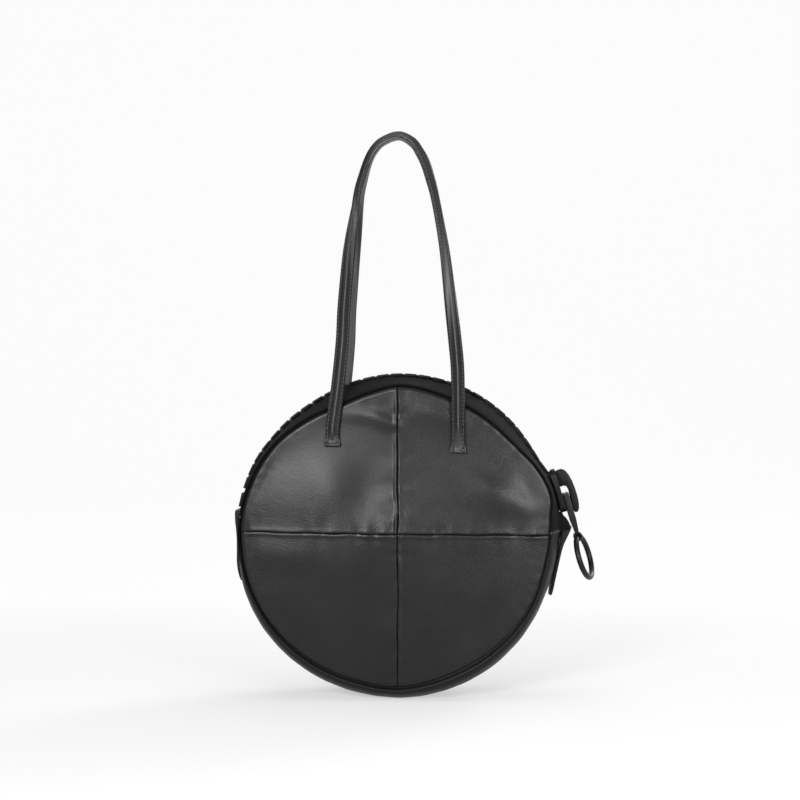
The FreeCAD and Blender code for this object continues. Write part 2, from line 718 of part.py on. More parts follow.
def strap_outline():
    half, edge = value("strap_width / 2"), value("strap_edge / 2")
    ridge, height = value("ridge_width / 2"), value("ridge_height")
    right = [(ridge * across, edge + height * up) for across, up in ridge_shares]
    left = [(-across, out) for across, out in reversed(right[:-1])]
    return [(-half, -edge), (half, -edge), (half, edge)] + right + left + [(-half, edge)]


def core_outline(radius):
    middle = value("strap_edge / 2 + ridge_height - core_cover - core_radius")
    turns = [2 * math.pi * (step + 0.5) / core_sides for step in range(core_sides)]
    return [(radius * math.cos(turn), middle + radius * math.sin(turn)) for turn in turns]


def make_handles():
    strap = strap_loft(strap_outline()).cut(strap_loft(core_outline(value("core_radius + core_gap"))))
    core = strap_loft(core_outline(value("core_radius")))
    for piece, solid in (("strap", strap), ("core", core)):
        add_solids(f"front_handle_{piece}", [solid])
        add_solids(f"back_handle_{piece}", [solid.mirror(Vector(), Vector(0, 1, 0))])


make_panels()
make_panel_linings()
make_bands()
make_tapes()
make_teeth()
make_stops()
make_slider()
make_link()
make_ring()
make_tabs()
make_strap_ends()
make_handles()
doc.recompute()

for thing in doc.Objects:
    if "Invalid" in thing.State or "Error" in thing.State:
        raise RuntimeError(f"{thing.Label} failed: {thing.State}")
for part in finished:
    if part.Shape.isNull() or not part.Shape.isValid() or not part.Shape.Solids:
        raise RuntimeError(f"{part.Label} has no valid shape")

os.makedirs("parts", exist_ok=True)
for part in finished:
    part.Shape.exportStep(os.path.join("parts", f"{part.Label}.step"))
    print(f"{part.Label}: {len(part.Shape.Solids)} solids, {part.Shape.Volume:.0f} mm3")
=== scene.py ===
import bmesh
import bpy
import json
import math
from mathutils import Matrix, Vector, noise


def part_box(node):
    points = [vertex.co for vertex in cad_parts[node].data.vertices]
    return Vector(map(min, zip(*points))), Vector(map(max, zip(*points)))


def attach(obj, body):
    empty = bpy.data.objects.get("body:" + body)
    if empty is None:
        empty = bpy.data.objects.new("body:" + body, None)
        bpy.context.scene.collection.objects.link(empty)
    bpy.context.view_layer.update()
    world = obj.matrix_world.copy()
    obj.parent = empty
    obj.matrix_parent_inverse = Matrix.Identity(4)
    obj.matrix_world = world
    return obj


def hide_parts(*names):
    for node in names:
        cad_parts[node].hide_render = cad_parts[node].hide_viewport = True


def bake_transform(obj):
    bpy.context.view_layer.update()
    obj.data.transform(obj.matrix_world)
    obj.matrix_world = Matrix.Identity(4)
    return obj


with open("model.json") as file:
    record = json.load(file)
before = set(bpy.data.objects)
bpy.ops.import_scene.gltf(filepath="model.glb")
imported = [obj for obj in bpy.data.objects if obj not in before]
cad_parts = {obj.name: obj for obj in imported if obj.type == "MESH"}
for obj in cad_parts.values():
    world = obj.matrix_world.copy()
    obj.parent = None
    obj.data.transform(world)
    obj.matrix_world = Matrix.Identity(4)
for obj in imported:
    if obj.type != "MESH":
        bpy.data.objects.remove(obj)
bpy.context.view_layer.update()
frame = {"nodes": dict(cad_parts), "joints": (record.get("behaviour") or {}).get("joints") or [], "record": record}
mm = 0.001
joints = {joint["name"]: joint for joint in frame["joints"]}
slotOf = {row["node"]: row["material_slot"] for row in frame["record"]["subparts"]}

# The disc's centre and the panels' top come from the solids, and the crest is the disc's edge
discCentre = Vector(joints["slider_run"]["pos_m"])
crestRadius = 150 * mm
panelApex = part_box("back_quarter_lower_left")[1].y
sides = {"front": -1, "back": 1}
hands = ("left", "right")
levels = ("upper", "lower")
gridEnd = 0.9999    # beyond this share a grid is at its last row
print("frame loaded:", len(frame["nodes"]), "nodes")


# Selection and edit mode
def pick(*things):
    if bpy.context.mode != "OBJECT":
        bpy.ops.object.mode_set(mode="OBJECT")
    bpy.ops.object.select_all(action="DESELECT")
    for thing in things:
        thing.select_set(True)
    bpy.context.view_layer.objects.active = things[0] if things else None


def editAll(piece, *jobs):
    pick(piece)
    bpy.ops.object.mode_set(mode="EDIT")
    bpy.ops.mesh.select_all(action="SELECT")
    for job, settings in jobs:
        job(**settings)
    bpy.ops.object.mode_set(mode="OBJECT")


def applied(piece, kind, **settings):
    pick(piece)
    modifier = piece.modifiers.new(kind.lower(), kind)
    for name, value in settings.items():
        setattr(modifier, name, value)
    bpy.ops.object.modifier_apply(modifier=modifier.name)


def addObject(name, data):
    piece = bpy.data.objects.new(name, data)
    bpy.context.scene.collection.objects.link(piece)
    return piece


# Edges that turn more than this stay sharp, in degrees
crease = {"soft": 60, "moulded": 50, "thread": 80}


def smooth(piece, kind):
    pick(piece)
    bpy.ops.object.shade_smooth_by_angle(angle=math.radians(crease[kind]))


# A grid whose points go where place(u, v) says, with u and v from 0 to 1
def gridSheet(name, columns, rows, place):
    pick()
    bpy.ops.mesh.primitive_grid_add(x_subdivisions=columns, y_subdivisions=rows, size=1)
    piece = bpy.context.object
    piece.name = piece.data.name = name
    for vertex in piece.data.vertices:
        vertex.co = place(vertex.co.x + 0.5, vertex.co.y + 0.5)
    return piece


# A sheet looks to the front or the back, or else away from the disc's centre
def faceOut(piece, side=0):
    score = 0
    for face in piece.data.polygons:
        outwards = Vector((0, side, 0)) if side else face.center - discCentre
        score += face.normal.dot(outwards) * face.area
    if score < 0:
        editAll(piece, (bpy.ops.mesh.flip_normals, {}))


def thicken(piece, thickness):
    applied(piece, "SOLIDIFY", thickness=thickness, offset=-1, use_even_offset=True)


# Points this close become one, in mm, and faces this flat become one, in degrees
weld = {"loft": 0.001, "solid": 0.002, "flat": 4}


# A tube through closed sections of equal counts, with capped ends
def loftTube(name, sections):
    around, along = len(sections[0]), len(sections) - 1

    def place(u, v):
        return sections[round(v * along)][round(u * around) % around]

    piece = gridSheet(name, around, along, place)
    editAll(
        piece,
        (bpy.ops.mesh.remove_doubles, {"threshold": weld["loft"] * mm}),
        (bpy.ops.mesh.fill_holes, {"sides": 0}),
        (bpy.ops.mesh.select_all, {"action": "SELECT"}),
        (bpy.ops.mesh.normals_make_consistent, {"inside": False}),
    )
    return piece


# Copies of one shape, joined into one piece
def copyAlong(shape, name, places):
    joined = bmesh.new()
    for place in places:
        before = len(joined.verts)
        joined.from_mesh(shape.data)
        joined.verts.ensure_lookup_table()
        for vertex in joined.verts[before:]:
            vertex.co = place @ vertex.co
    mesh = bpy.data.meshes.new(name)
    joined.to_mesh(mesh)
    joined.free()
    return addObject(name, mesh)


# A solid's shape, cleaned up
def copyNode(node, name):
    piece = addObject(name, frame["nodes"][node].data.copy())
    piece.data.materials.clear()
    pick(piece)
    bpy.ops.mesh.customdata_custom_splitnormals_clear()
    editAll(
        piece,
        (bpy.ops.mesh.remove_doubles, {"threshold": weld["solid"] * mm}),
        (bpy.ops.mesh.dissolve_limited, {"angle_limit": math.radians(weld["flat"])}),
    )
    return piece


# Edges sharper than an angle in degrees get rounded
def roundEdges(piece, width, sharper=35):
    applied(piece, "BEVEL", width=width, segments=3, limit_method="ANGLE", angle_limit=math.radians(sharper))
    smooth(piece, "moulded")


def softened(node, name, width):
    piece = copyNode(node, name)
    roundEdges(piece, width)
    return piece


# Smooth numbers along a run of stations, each a place and a value
def runValue(stations, at):
    last = len(stations) - 1
    after = next((step for step in range(1, last) if stations[step][0] > at), last)
    picked = [stations[min(last, max(0, after + step))] for step in (-2, -1, 0, 1)]
    (a0, v0), (a1, v1), (a2, v2), (a3, v3) = picked
    span = a2 - a1
    share = (at - a1) / span
    rise1, rise2 = (v2 - v0) / (a2 - a0) * span, (v3 - v1) / (a3 - a1) * span
    bend1, bend2 = share * (1 - share) ** 2 * rise1, share * share * (share - 1) * rise2
    return v1 + (v2 - v1) * share * share * (3 - 2 * share) + bend1 + bend2


# The same round a full turn, in degrees
def ringValue(stations, degrees):
    before = [(angle - 360, value) for angle, value in stations[-2:]]
    after = [(angle + 360, value) for angle, value in stations[:2]]
    return runValue(before + stations + after, degrees % 360)


# One run for each value in rows of values
def runsOf(places, rows):
    return [[(place, row[part]) for place, row in zip(places, rows)] for part in range(len(rows[0]))]


def bell(distance, width):
    return math.exp(-((distance / width) ** 2))


# 0 at the start, 1 at the end of the run, and smooth between
def ease(at, start=0, run=1):
    share = min(1, max(0, (at - start) / run))
    return share * share * (3 - 2 * share)


def shares(count):
    return [step / count for step in range(count + 1)]


def ripple(x, y, z):
    return noise.noise(Vector((x, y, z)))


# 1 at a turned edge, falling to 0 at reach as a quarter circle
def rollOff(distance, reach):
    near = max(0, 1 - distance / reach)
    return 1 - math.sqrt(max(0, 1 - near * near))


def polar(radius, degrees, y=0):
    turn = math.radians(degrees)
    return discCentre + Vector((radius * math.cos(turn), y, radius * math.sin(turn)))


# Shader nodes: a wire carries a value, and sums on wires add Math nodes
class Wire:
    def __init__(self, socket):
        self.socket = socket

    def join(self, operation, first, second):
        node = self.socket.id_data.nodes.new("ShaderNodeMath")
        node.operation = operation
        feed(node.inputs[0], first)
        feed(node.inputs[1], second)
        return Wire(node.outputs[0])

    def __add__(self, other):
        return self.join("ADD", self, other)

    __radd__ = __add__

    def __sub__(self, other):
        return self.join("SUBTRACT", self, other)

    def __rsub__(self, other):
        return self.join("SUBTRACT", other, self)

    def __mul__(self, other):
        return self.join("MULTIPLY", self, other)

    __rmul__ = __mul__

    def __truediv__(self, other):
        return self.join("DIVIDE", self, other)

    def __mod__(self, other):
        return self.join("FLOORED_MODULO", self, other)

    def op(self, operation, other=0):
        return self.join(operation, self, other)


def feed(socket, value):
    if isinstance(value, Wire):
        socket.id_data.links.new(value.socket, socket)
    else:
        socket.default_value = value


class Finish:
    def __init__(self, name):
        self.material = bpy.data.materials.new(name)
        self.material.use_nodes = True
        self.nodes = self.material.node_tree.nodes
        self.shader = self.nodes["Principled BSDF"]
        self.place = self.node("TexCoord", output="Object")

    def node(self, kind, settings=None, output=0, **sockets):
        node = self.nodes.new("ShaderNode" + kind)
        for name, value in (settings or {}).items():
            if name == "stops":
                for stop, (place, colour) in zip(node.color_ramp.elements, value):
                    stop.position, stop.color = place, (*colour, 1)
            else:
                setattr(node, name, value)
        for name, value in sockets.items():
            feed(node.inputs[name.replace("_", " ")], value)
        return Wire(node.outputs[output])

    def set(self, **sockets):
        for name, value in sockets.items():
            feed(self.shader.inputs[name.replace("_", " ")], value)

    def parts(self, vector):
        return [self.node("SeparateXYZ", output=axis, Vector=vector) for axis in range(3)]

    # Cloudy patches, counted per metre
    def cloud(self, count, detail, roughness=0.5):
        return self.node("TexNoise", Vector=self.place, Scale=count, Detail=detail, Roughness=roughness)

    # Shades of one tone: each stop is a place on the mask and its shares of the tone
    def shades(self, tone, mask, *stops):
        colours = [(place, [share * tone for share in shares]) for place, shares in stops]
        return self.node("ValToRGB", {"stops": colours}, Fac=mask)

    # Relief in mm
    def bump(self, strength, relief, height):
        return self.node("Bump", Strength=strength, Distance=relief * mm, Height=height)


def grey(share):
    return (share, share, share)


def waves(wire, count=1):
    return (wire * (2 * math.pi * count)).op("SINE") * 0.5 + 0.5


# Leather: pebbles as wide as its grain in mm, soft creases, and a satin dressing worn a little uneven
hide = {"pores": 2600, "folds": 150, "mottle": 28, "relief": 0.4,
        "dark": (0.7, 0.7, 0.82), "pale": (1.3, 1.3, 1.5)}


def leather(name, tone, roughness, gloss, grain=0.9, creases=0.5):
    finish = Finish(name)
    pebbles = finish.node("TexVoronoi", {"feature": "SMOOTH_F1"}, Vector=finish.place, Scale=1 / (grain * mm))
    pores = finish.cloud(hide["pores"], 2)
    folds = finish.cloud(hide["folds"], 4, 0.6)
    mottle = finish.cloud(hide["mottle"], 3)
    colour = finish.shades(tone, mottle * 0.7 + pores * 0.3, (0.3, hide["dark"]), (0.75, hide["pale"]))
    height = (1 - pebbles) * 0.7 + pores * 0.2 + folds * creases
    normal = finish.bump(0.4, hide["relief"], height)
    finish.set(Base_Color=colour, Roughness=roughness - 0.08 + mottle * 0.12 + pebbles * 0.06, Normal=normal)
    finish.set(Specular_IOR_Level=gloss)
    return finish.material


# Woven tape: slanted ribs that turn back at each column, as in a herringbone, in mm
def herringbone(name, tone, column, rib, fluffCount=1800):
    finish = Finish(name)
    across, along = finish.parts(finish.node("UVMap"))[:2]
    turn = ((across / (column * mm)).op("FLOOR") % 2) * 2 - 1
    ribs = waves((along + turn * across) / (rib * mm))
    threads = waves((along - turn * across) / (rib * mm), 3)
    weave = ribs * 0.6 + threads * 0.2 + finish.cloud(fluffCount, 3) * 0.2
    colour = finish.shades(tone, weave, (0.15, grey(0.55)), (0.9, grey(1.5)))
    finish.set(Base_Color=colour, Roughness=0.95 - weave * 0.15, Normal=finish.bump(0.6, 0.3, weave))
    finish.set(Sheen_Weight=0.015, Sheen_Roughness=0.5, Specular_IOR_Level=0.06)
    return finish.material


# Plain twill for the lining and the hidden pieces, with ribs in mm
def twill(name, tone, rib=0.9, fluffCount=900):
    finish = Finish(name)
    x, y, z = finish.parts(finish.place)
    weave = waves((x + z + y) / (rib * mm)) * 0.7 + finish.cloud(fluffCount, 3) * 0.3
    colour = finish.shades(tone, weave, (0.1, grey(0.6)), (0.9, grey(1.3)))
    finish.set(Base_Color=colour, Roughness=0.9, Normal=finish.bump(0.4, 0.25, weave))
    finish.set(Sheen_Weight=0.1, Specular_IOR_Level=0.2)
    return finish.material


# Moulded or coated hard pieces: faint flow marks and a satin skin rubbed uneven
def hardCoat(name, tone, roughness, gloss, skinCount=2200, rubCount=120):
    finish = Finish(name)
    skin = finish.cloud(skinCount, 2)
    rub = finish.cloud(rubCount, 4, 0.65)
    colour = finish.shades(tone, rub, (0.35, grey(0.8)), (0.8, grey(1.5)))
    normal = finish.bump(0.15, 0.1, skin)
    finish.set(Base_Color=colour, Roughness=roughness - 0.07 + rub * 0.16, Normal=normal)
    finish.set(Specular_IOR_Level=gloss)
    return finish.material


def sewingThread(name, tone, strandCount=3500):
    finish = Finish(name)
    strands = finish.cloud(strandCount, 2)
    colour = finish.shades(tone, strands, (0.3, grey(0.6)), (0.7, grey(1.6)))
    finish.set(Base_Color=colour, Roughness=0.5 + strands * 0.2, Normal=finish.bump(0.4, 0.1, strands))
    return finish.material


finishes = {
    "panel_leather": leather("panelLeather", 0.0055, 0.318, gloss=0.26, grain=0.8),
    "band_leather": leather("bandLeather", 0.005, 0.46, gloss=0.15),
    "tab_leather": leather("tabLeather", 0.005, 0.44, gloss=0.18),
    "strap_leather": leather("strapLeather", 0.009, 0.38, gloss=0.46, grain=0.5, creases=0.7),
    "filler_cord": twill("fillerCord", 0.1),
    "patch_board": twill("patchBoard", 0.12),
    "zip_tape": herringbone("zipTape", 0.0045, column=4.8, rib=1.7),
    "zip_teeth": hardCoat("zipTeeth", 0.004, 0.45, gloss=0.16),
    "lining_cloth": twill("liningCloth", 0.03),
    "slider_finish": hardCoat("sliderCoat", 0.003, 0.42, gloss=0.14),
    "pull_finish": hardCoat("pullCoat", 0.004, 0.36, gloss=0.25),
}
thread = sewingThread("blackThread", 0.08)
print("finishes made:", len(finishes) + 1)


# Every piece takes its node's finish and stands for it
def dress(piece, node):
    piece.data.materials.append(finishes[slotOf[node]])
    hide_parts(node)


# A sheet of leather or cloth, with its thickness in mm behind its face
def makeSheet(name, node, columns, rows, place, thickness, side=0):
    piece = gridSheet(name, columns, rows, place)
    faceOut(piece, side)
    thicken(piece, thickness * mm)
    smooth(piece, "soft")
    dress(piece, node)
    return piece


# A cut of cloth: the rectangle that it is cut from, in mm, and how much of it the cut fills. Its area is worked
# out and then left unused
def declareCloth(piece, width, length, rests, cutShare=1):
    area = cutShare * width * mm * length * mm
    width * mm
    length * mm


def onMouth(piece):
    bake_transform(piece)


def onPanel(piece, level):
    if level == "upper":
        onMouth(piece)
    else:
        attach(piece, "carcass")


# The bag's outline about the disc's centre: the panel's seam and the crest, in degrees and mm
outline = {
    "rim": [(1, 137), (9, 139.5), (16, 144), (27, 142), (39, 136.6), (55, 136.2), (72, 137.5), (90, 140.5),
            (101, 136.8), (114, 134.6), (128, 138.2), (140, 142.3), (153, 144.6), (168, 145.6), (186, 144),
            (206, 141.4), (227, 137.6), (253, 134), (269, 134.4), (292, 131.3), (316, 132.3), (332, 134),
            (348, 134.4)],
    "crest": [(3, 150), (16, 150), (22, 149.2), (28, 146.2), (36, 145.9), (46, 146.9), (60, 148.3),
              (90, 149.1), (105, 148), (122, 146.7), (134, 147.5), (141, 148.1), (148, 149.6), (152, 150),
              (166, 150), (172, 149.8), (180, 148.6), (187, 149.6), (194, 151.4), (205, 152.2), (225, 151.4),
              (243, 149.8), (257, 148.6), (270, 148.2), (284, 148), (300, 147.4), (315, 146.6), (337, 145.2),
              (352, 147)],
    "edge": 44.2, "tuck": 4, "tuckDepth": 1.5,
    "groove": 3.8,          # how deep the rim's seam lies behind the band's edge
    "grooveWidth": 0.07,
    "fullness": {"band": 2.4, "tape": 1.35, "ends": 1.6, "fade": 24},
}
seamDepth = (outline["edge"] - outline["groove"]) * mm
zipEnds = (3, 171.7)

# The closed chain of teeth leans back, so that its front row stands higher. The lean comes and goes
# along the zip, each from a place over a run in degrees, and fades beyond the teeth, in mm.
chain = {"lean": 0.06, "comes": (28, 20), "goes": (148, -14), "fade": (15, 15), "edge": 0.9}


def chainTilt(degrees):
    return chain["lean"] * ease(degrees, *chain["comes"]) * ease(degrees, *chain["goes"])


def rimRadius(degrees):
    return ringValue(outline["rim"], degrees) * mm


def crestShift(degrees):
    return ringValue(outline["crest"], degrees) * mm - crestRadius


# How square the section is: the tape lies nearly flat, and the band swells away from the zip's ends
def fullness(degrees):
    full = outline["fullness"]
    turn = degrees % 360
    past = min(abs(turn - zipEnds[1]), abs(turn - 360 - zipEnds[0]), abs(turn - zipEnds[0])) / full["fade"]
    middle = full["tape"] if zipEnds[0] < turn < zipEnds[1] else full["band"]
    return full["ends"] + (middle - full["ends"]) * ease(past)


# The band's section: reach 0 is the crest, 1 and -1 the two seams
def bandPoint(degrees, reach, inset=0):
    rim, crest = rimRadius(degrees) - inset, crestRadius + crestShift(degrees) - inset
    power, turn = 2 / fullness(degrees), reach * math.pi / 2
    sunk = outline["groove"] * mm * bell(1 - abs(reach), outline["grooveWidth"])
    out = abs(math.sin(turn)) ** power * (outline["edge"] * mm - inset) - sunk
    crest -= chainTilt(degrees) * math.copysign(out, reach) * (1 - ease(out / mm, *chain["fade"]))
    point = polar(rim + (crest - rim) * max(0, math.cos(turn)) ** power, degrees, math.copysign(out, reach))
    point.z = max(point.z, inset)
    return point


# The strip's raw edge, tucked under the panel
def tucked(degrees, side, inset=0):
    radius = rimRadius(degrees) - outline["tuck"] * mm - inset
    return polar(radius, degrees, side * (seamDepth - outline["tuckDepth"] * mm - inset))


# A row's columns, closer together at its two edges
def toEdges(share):
    return math.sin((share - 0.5) * math.pi)


# Panels: four quarters of leather on a face, turned in along crossed seams and along the rim, in mm.
# Dents are x, z from the crossing, half length, half width, tilt in degrees and height.
panel = {
    "crossing": (-0.5, 6.3), "leather": 2, "grid": 84, "rimSteps": 6,
    "cluster": 0.9,         # how far the grid's rows gather at its edges
    "crown": 11, "crownPower": 1.5, "crownTurn": 0.3,
    "crownRight": 3.5,      # the right half falls away further
    "hangPower": 5, "leanBack": 7, "leanHeight": 135,
    "calm": 22,             # slack and dents die away this near the rim
    "rimRoll": 4.2, "seamRoll": 1.3, "seamDrop": 1.4,
    "welt": {"upper_left": 0.9, "upper_right": 0.2, "lower_left": 0.25, "lower_right": 0.6},
    "ledge": {"upper": 0.1, "lower": 0.5},
    "beside": {"welt": (2, 1.4), "ledge": (2.4, 1.6)},      # place and width
    "weltEnd": 8, "unevenBase": 0.7, "unevenPitch": 17,
    "swell": {"upper": 1.5, "lower": -0.5},     # along the level seam, the other way near the crossing
    "swellTurn": 0.35, "swellReach": 16, "swellMiddle": 60,
    "pucker": {"seam": 0.9, "rim": 0.4}, "puckerPitch": 8, "puckerReach": 8, "puckerStart": 1.2,
    "slack": 0.9, "slackSize": 48,
    "drift": 1.4, "driftPitch": 36, "driftUpright": 14, "driftLevel": 18,   # how the seams stray
    "levelDrop": 1.6,       # the level seam falls to one side
    "seeds": {"welt": 21, "ledge": 27, "upright": 3, "level": 7, "rim": 11,
              "uprightDrift": 5, "levelDrift": 9},
    "dents": [
        (-15, 103, 20, 7, -23, 1.6), (-47, 113, 15, 9, -10, 1.6), (45, 118, 30, 22, 0, 2.6),
        (-30, 38, 20, 15, 90, -0.9), (-60, 40, 24, 17, 90, 1.0), (-121, 51, 24, 6, 65, -0.9),
        (-104, -20, 34, 14, 0, 1.3), (90, 24, 24, 30, 0, 2.4), (96, 36, 44, 13, -26, 1.7),
        (90, 60, 10, 14, 20, -0.3), (119, 37, 8, 14, 25, -0.9), (66, 16, 34, 14, -14, -1.0),
        (-70, 60, 40, 30, 30, 0.9),
    ],
}
crossing = discCentre + Vector((panel["crossing"][0] * mm, 0, panel["crossing"][1] * mm))


# Distance from the crossing to the rim along a direction
def rimReach(turn):
    away = Vector((math.cos(turn), 0, math.sin(turn)))
    offset = crossing - discCentre
    along = offset.dot(away)
    reach = crestRadius
    for _ in range(panel["rimSteps"]):
        point = offset + away * reach
        rim = rimRadius(math.degrees(math.atan2(point.z, point.x)))
        reach = math.sqrt(along * along - offset.length_squared + rim * rim) - along
    return reach


def dentHeight(x, z, side):
    total = 0
    for dentX, dentZ, long, short, tilt, height in panel["dents"]:
        across, up = side * -x / mm - dentX, z / mm - dentZ
        turn = math.radians(tilt)
        near = across * math.cos(turn) + up * math.sin(turn)
        far = up * math.cos(turn) - across * math.sin(turn)
        total += height * bell(near, long) * bell(far, short)
    return total * mm


# The leather stands up unevenly beside a seam: as a welt by the upright one, as a ledge by the level one
def weltHeight(along, away, kind, height, side):
    wave = ripple(along / (panel["unevenPitch"] * mm), panel["seeds"][kind], side)
    place, width = panel["beside"][kind]
    return height * (panel["unevenBase"] + wave) * bell(away / mm - place, width) * mm


def puckerHeight(along, away, kind, height, side):
    pitch = panel["puckerPitch"] * mm
    wave = ripple(along / pitch, panel["seeds"][kind] + side, away / (3 * pitch))
    fade = math.exp(-away / (panel["puckerReach"] * mm)) * ease(away / (panel["puckerStart"] * mm))
    return height * mm * wave * fade


# How far the face of a panel stands from the mid-plane at x, z from the crossing
def panelDepth(x, z, side, turned=True):
    radius, turn = math.hypot(x, z), math.atan2(z, x)
    rim = rimReach(turn)
    inside = max(rim - radius, 0)
    share = min(1, radius / rim)
    hangs = max(0, math.sin(turn)) ** 2     # the top hangs level, the sides fall away to the rim
    toRight = max(0, -side * math.cos(turn))
    power, flat = panel["crownPower"] - panel["crownTurn"] * toRight, panel["hangPower"]
    crown = (panel["crown"] + panel["crownRight"] * toRight) * mm
    fall = (share - share**flat / flat) / (1 - 1 / flat) * hangs + share**power * (1 - hangs)
    depth = panelApex - crown * fall - panel["leanBack"] * max(z, 0) / panel["leanHeight"] * (1 - share)
    calm = ease(inside / (panel["calm"] * mm))
    spot = Vector((x, z, side)) / (panel["slackSize"] * mm)
    depth += (panel["slack"] * mm * noise.noise(spot) + dentHeight(x, z, side)) * calm
    if not turned:
        return depth
    half, hand = "upper" if z > 0 else "lower", "left" if x * side > 0 else "right"
    upright, level = abs(x), abs(z)
    depth -= (panelApex - crown - seamDepth) * rollOff(inside, panel["rimRoll"] * mm)
    roll, drop = panel["seamRoll"] * mm, panel["seamDrop"] * mm
    depth -= drop * max(rollOff(upright, roll), rollOff(level, roll))
    welt = weltHeight(z, upright, "welt", panel["welt"][f"{half}_{hand}"], side)
    welt += weltHeight(x, level, "ledge", panel["ledge"][half], side)
    depth += welt * ease(inside / (panel["weltEnd"] * mm))
    depth += puckerHeight(z, upright, "upright", panel["pucker"]["seam"], side)
    depth += puckerHeight(x, level, "level", panel["pucker"]["seam"], side)
    depth += puckerHeight(turn * rim, inside, "rim", panel["pucker"]["rim"], side)
    swell = panel["swell"][half] * mm * math.exp(-level / (panel["swellReach"] * mm)) * calm
    middle = 1 - ease(upright / (panel["swellMiddle"] * mm))
    return depth + swell * (ease(upright / crestRadius) - panel["swellTurn"] * middle)


def seamDrift(along, kind):
    return panel["drift"] * mm * ripple(along / (panel["driftPitch"] * mm), panel["seeds"][kind], 0)


def panelPoint(x, z, side, depth):
    straight = bell(x, panel["driftUpright"] * mm) * seamDrift(z, "uprightDrift")
    fall = panel["levelDrop"] * mm * x / crestRadius
    level = bell(z, panel["driftLevel"] * mm) * (seamDrift(x, "levelDrift") - fall)
    return crossing + Vector((x + straight, side * depth, z + level))


def spread(share):
    return share - panel["cluster"] * math.sin(2 * math.pi * share) / (2 * math.pi)


def makeQuarter(face, level, hand):
    side = sides[face]
    right, above = (1 if hand == "right" else -1), (1 if level == "upper" else -1)

    def place(u, v):
        u, v = spread(u), spread(v)
        across, up = u * math.sqrt(1 - v * v / 2), v * math.sqrt(1 - u * u / 2)
        turn = math.atan2(above * up, right * across)
        radius = math.hypot(across, up) * rimReach(turn)
        x, z = radius * math.cos(turn), radius * math.sin(turn)
        return panelPoint(x, z, side, panelDepth(x, z, side))

    piece = makeSheet(f"{face}_{level}_{hand}_leather", f"{face}_quarter_{level}_{hand}",
                      panel["grid"], panel["grid"], place, panel["leather"], side)
    onPanel(piece, level)


for face in sides:
    for level in levels:
        for hand in hands:
            makeQuarter(face, level, hand)
print("panels made")


# Panel linings: half discs of cloth that hang a little slack behind the leather
lining = {"cutRadius": 133, "behind": 3.9, "cloth": 0.8, "margin": 6, "rings": 28, "spokes": 56, "hub": 0.004,
          "slack": 1.5, "slackSize": 40, "slackSeed": 4, "slackOut": 0.4}


def makePanelLining(face, level):
    side, first = sides[face], (0 if level == "upper" else math.pi)

    def place(u, v):
        turn = first + u * math.pi
        radius = max(v, lining["hub"]) * (rimReach(turn) - lining["margin"] * mm)
        x, z = radius * math.cos(turn), radius * math.sin(turn)
        spot = Vector((x, z, lining["slackSeed"] * side)) / (lining["slackSize"] * mm)
        slack = min(lining["slack"] * noise.noise(spot) * (1 - v), lining["slackOut"])
        depth = panelDepth(x, z, side, turned=False) + (slack - lining["behind"]) * mm
        return crossing + Vector((x, side * depth, z))

    piece = makeSheet(f"{face}_{level}_lining", f"{face}_lining_{level}", lining["spokes"], lining["rings"],
                      place, lining["cloth"], side)
    quarters = [f"{face}_quarter_{level}_{hand}" for hand in hands]
    halfDisc = math.pi / 4
    declareCloth(piece, 2 * lining["cutRadius"], lining["cutRadius"], quarters, halfDisc)
    onPanel(piece, level)


for face in sides:
    for level in levels:
        makePanelLining(face, level)

# The band: a soft leather strip round the bottom from one end of the zip to the other, and its lining.
# It laps over the zip at both ends, where a row of stitches crosses it.
band = {"start": 170.8, "end": 363.9, "leather": 2, "rows": 260, "columns": 40, "lining": 3.1,
        "liningCut": (101, 495), "lap": 1.5, "lapFade": 5, "lapPower": 8,
        "wrinkle": 0.5, "wrinkleTurn": 9, "wrinkleWidth": 26, "wrinkleSeed": 2, "wrinklePower": 4,
        "stitchInset": 1, "stitchReach": 0.9, "stitchSteps": 72}


def bandSurface(degrees, reach, inset):
    point = bandPoint(degrees, reach, inset)
    outwards = (point - discCentre).normalized()
    turn, across = math.radians(degrees) * band["wrinkleTurn"], point.y / (band["wrinkleWidth"] * mm)
    wrinkle = band["wrinkle"] * ripple(turn, across, band["wrinkleSeed"])
    wrinkle *= 1 - abs(reach) ** band["wrinklePower"]
    toEnd = min(degrees - band["start"], band["end"] - degrees)
    lap = band["lap"] * (1 - ease(toEnd / band["lapFade"])) * (1 - abs(reach) ** band["lapPower"])
    point += outwards * (wrinkle + lap) * mm
    point.z = max(point.z, inset)
    return point


def makeBand(name, node, inset, thickness):
    def place(u, v):
        degrees = band["start"] + (band["end"] - band["start"]) * v
        reach = toEdges(u)
        if abs(reach) > gridEnd:
            return tucked(degrees, reach, inset)
        return bandSurface(degrees, reach, inset)

    piece = makeSheet(name, node, band["columns"], band["rows"], place, thickness)
    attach(piece, "carcass")
    return piece


makeBand("lower_band", "lower_gusset", 0, band["leather"])
bandLining = makeBand("band_lining", "gusset_lining", band["lining"] * mm, lining["cloth"])
declareCloth(bandLining, *band["liningCut"], ["lower_gusset"])
print("band and linings made")

# Zip tapes: woven strips from the tooth row down to the panel's seam, with a bead beside the teeth.
# The right end rises into the tab.
tape = {"edge": 4.8, "thickness": 1.2, "rows": 180, "columns": 40, "cut": (47, 440),
        "bead": 0.8, "beadPlace": 15.4, "beadWidth": 0.9,
        "endRise": 9, "endRun": 5.9, "riseFade": (15, 12)}


